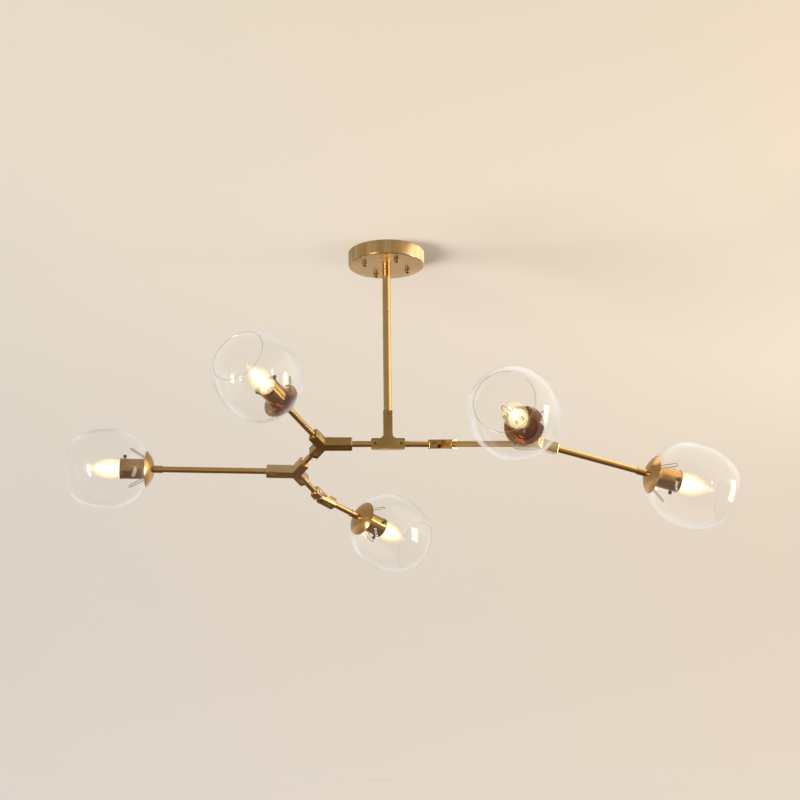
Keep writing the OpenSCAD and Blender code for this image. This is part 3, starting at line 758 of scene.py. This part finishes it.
def bent_wire(name, path, radius):
    """A smooth wire through the points of one side and back through their mirror images."""
    points = path + [(x, -y, z) for x, y, z in reversed(path[:-1])]
    bpy.ops.curve.primitive_nurbs_path_add()
    wire = bpy.context.active_object
    wire.name = name
    wire.data.splines.clear()
    spline = wire.data.splines.new("NURBS")
    spline.points.add(len(points) - 1)
    for point, co in zip(spline.points, points):
        point.co = (*co, 1)
    spline.order_u = 3
    spline.use_endpoint_u = True
    spline.resolution_u = 6
    wire.data.dimensions = "3D"
    wire.data.bevel_depth = radius
    wire.data.bevel_resolution = 3
    wire.data.use_fill_caps = True
    wire.matrix_world = Matrix.Identity(4)
    select_only(wire)
    bpy.ops.object.convert(target="MESH")
    return bpy.context.active_object


spring_wire = brushed_brass(
    "Spring wire",
    light=(0.62, 0.55, 0.42, 1),
    dark=(0.44, 0.37, 0.26, 1),
    roughness=0.2,
    grain_size=0.0004,
)
clip = bent_wire("clip pattern", CLIP_PATH, WIRE_RADIUS)
smooth(clip)
clip.data.materials.append(spring_wire)
for lamp, place in places.items():
    clips = []
    for turn in CLIP_TURNS:
        turned = place @ Matrix.Rotation(math.radians(turn), 4, "X")
        clips.append(placed_copy(clip, f"spring_clip_{lamp}_{turn}", turned))
    select_only(clips[0])
    for other in clips[1:]:
        other.select_set(True)
    bpy.ops.object.join()
    clips[0].name = "spring_clips_" + lamp
    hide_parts(CLIP_GROUPS[lamp])
    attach(clips[0], LAMP_BODY[lamp])
bpy.data.objects.remove(clip)


# ---------------------------------------------------------------------------------------------
# Room
# A pale plaster ceiling that the canopy lies on, drawn from below only, in a pale room that
# gets darker behind the camera and towards the floor. In the brass the ceiling is bright on the
# side of a window and dim elsewhere.
# ---------------------------------------------------------------------------------------------
CEILING_SIZE = 900
CEILING_HEIGHT = 0.0004
PAINT_GLOW = 0.15
CAMERA_TO_CANOPY = 2.3
NEAREST_DEPTH = 0.8
DIM_SIDE = 0.528
WINDOW_SIDE = 2.28
# How bright the ceiling is in the brass, by its bearing from the canopy in turns. The camera's
# side is at 0.5 and the right-hand side at 0.75.
WINDOW_BEARING = [
    (0.00, 0.72),
    (0.25, 0.576),
    (0.50, DIM_SIDE),
    (0.60, 0.72),
    (0.66, WINDOW_SIDE),
    (0.80, WINDOW_SIDE),
    (0.86, 0.816),
    (1.00, 0.72),
]


def plaster(name, near_left, near_right, far_left, far_right):
    """Painted plaster with a slow drift of tone and a fine roll, which takes shadows."""
    material, start = new_material(name)
    place = object_place(start)
    across, away, _ = axes(start, place)
    depth = start.math("MAXIMUM", away + CAMERA_TO_CANOPY, NEAREST_DEPTH)
    sideways = spread(start, across / depth, -0.28, 0.30)
    distance = spread(start, 1 / depth, 0.65, 0.0)
    near = mixed(start, sideways, near_left, near_right)
    colour = mixed(start, distance, near, mixed(start, sideways, far_left, far_right))
    roll = start.node("TexNoise", Vector=place, Scale=500.0, Detail=2.0)
    relief = start.node("Bump", Height=roll, Strength=0.03, Distance=0.0005)
    paint = start.node("BsdfDiffuse", Color=colour, Normal=relief)
    seen = start.math(
        "MAXIMUM",
        start.node("LightPath", out="Is Camera Ray"),
        start.node("LightPath", out="Is Transmission Ray"),
    )
    even_light = start.node("Emission", Color=colour, Strength=1.0)
    ceiling_seen = layered(start, seen * PAINT_GLOW, paint, even_light)
    bearing = start.math("ARCTAN2", across, 0.0 - away) / (2 * math.pi) + 0.5
    stops = []
    for turn, brightness in WINDOW_BEARING:
        share = (brightness - DIM_SIDE) / (WINDOW_SIDE - DIM_SIDE)
        stops.append((turn, (share, share, share, 1)))
    window_share = start.node("ValToRGB", stops=stops, Fac=bearing)
    dim = start.node("Emission", Color=colour, Strength=DIM_SIDE)
    bright = start.node("Emission", Color=colour, Strength=WINDOW_SIDE)
    in_brass = layered(start, window_share, dim, bright)
    mirrored = start.node("LightPath", out="Is Glossy Ray")
    from_below = layered(start, mirrored, ceiling_seen, in_brass)
    back = start.node("NewGeometry", out="Backfacing")
    one_sided = layered(start, back, from_below, start.node("BsdfTransparent"))
    start.node("OutputMaterial", Surface=one_sided)
    return material


ceiling_paint = plaster(
    "Ceiling paint",
    near_left=(0.667, 0.625, 0.545, 1),
    near_right=(0.752, 0.668, 0.550, 1),
    far_left=(0.770, 0.755, 0.745, 1),
    far_right=(0.855, 0.787, 0.698, 1),
)
bpy.ops.mesh.primitive_plane_add(size=CEILING_SIZE, location=(0, 0, CEILING_HEIGHT))
ceiling = bpy.context.active_object
ceiling.name = "ceiling"
ceiling.data.flip_normals()
ceiling.data.materials.append(ceiling_paint)

world = bpy.data.worlds.new("Room light")
scene.world = world
world.use_nodes = True
world.node_tree.nodes.clear()
sky = Signal(world.node_tree)
rightward, forward, upward = axes(sky, sky.node("TexCoord", out="Generated"))
in_metal = sky.node("LightPath", out="Is Glossy Ray")
behind = mixed(sky, in_metal, (0.40, 0.36, 0.30, 1), (0.56, 0.48, 0.36, 1))
carpet = mixed(sky, in_metal, (0.26, 0.20, 0.15, 1), (0.15, 0.10, 0.06, 1))
walls = mixed(sky, spread(sky, forward, -0.5, 0.8), behind, (0.92, 0.87, 0.80, 1))
room_colour = mixed(sky, spread(sky, upward, -0.75, -0.1), carpet, walls)
left_to_right = spread(sky, rightward, -0.22, 0.32)
backdrop = mixed(sky, left_to_right, (0.737, 0.670, 0.601, 1), (0.811, 0.697, 0.573, 1))
seen_colour = mixed(sky, sky.node("LightPath", out="Is Camera Ray"), room_colour, backdrop)
sky.node("OutputWorld", Surface=sky.node("Background", Color=seen_colour, Strength=1.0))


def place_light(lamp, spot, aim):
    holder = bpy.data.objects.new(lamp.name, lamp)
    scene.collection.objects.link(holder)
    holder.location = spot
    holder.rotation_euler = (Vector(aim) - Vector(spot)).to_track_quat("-Z", "Y").to_euler()
    return holder


def soft_light(name, spot, aim, width, height, power, colour):
    lamp = bpy.data.lights.new(name, "AREA")
    lamp.shape = "RECTANGLE"
    lamp.size = width
    lamp.size_y = height
    lamp.energy = power
    lamp.color = colour
    place_light(lamp, spot, aim)


soft_light(
    "window",
    spot=(2.2, -0.2, -0.6),
    aim=(0, 0, -0.35),
    width=0.5,
    height=1.3,
    power=22,
    colour=(1.0, 0.96, 0.89),
)
soft_light(
    "left strip",
    spot=(-1.5, -1.7, -0.9),
    aim=(0, 0, -0.3),
    width=0.35,
    height=1.3,
    power=16,
    colour=(1.0, 0.97, 0.93),
)
daylight = bpy.data.lights.new("daylight", "SUN")
daylight.energy = 4.4
daylight.angle = math.radians(34)
daylight.color = (1.0, 0.97, 0.92)
daylight_holder = place_light(daylight, spot=(-2.0, -0.15, -0.95), aim=(0, 0, 0))
daylight_holder.visible_glossy = False


# ---------------------------------------------------------------------------------------------
# Camera
# Below the fitting and looking up at it, from a little over two metres away.
# ---------------------------------------------------------------------------------------------
CAMERA_SPOT = Vector((-0.1003, -2.152, -0.8153))
PITCH, YAW, ROLL = (math.radians(a) for a in (14.90, 3.18, -0.72))
FOCAL_PIXELS = 1438
FRAME_PIXELS = 800
SENSOR_WIDTH = 36
FARTHEST_SEEN = 1000

ahead = Vector(
    (math.sin(YAW) * math.cos(PITCH), math.cos(YAW) * math.cos(PITCH), math.sin(PITCH))
)
level_right = Vector((math.cos(YAW), -math.sin(YAW), 0))
level_up = level_right.cross(ahead)
right = level_right * math.cos(ROLL) + level_up * math.sin(ROLL)
up = level_up * math.cos(ROLL) - level_right * math.sin(ROLL)
camera = bpy.data.objects.new("Camera", bpy.data.cameras.new("Camera"))
scene.collection.objects.link(camera)
camera.data.sensor_width = SENSOR_WIDTH
camera.data.lens = SENSOR_WIDTH * FOCAL_PIXELS / FRAME_PIXELS
camera.data.clip_end = FARTHEST_SEEN
camera_turn = Matrix((right, up, -ahead)).transposed().to_4x4()
camera.matrix_world = Matrix.Translation(CAMERA_SPOT) @ camera_turn
scene.camera = camera
scene.view_settings.view_transform = "Standard"
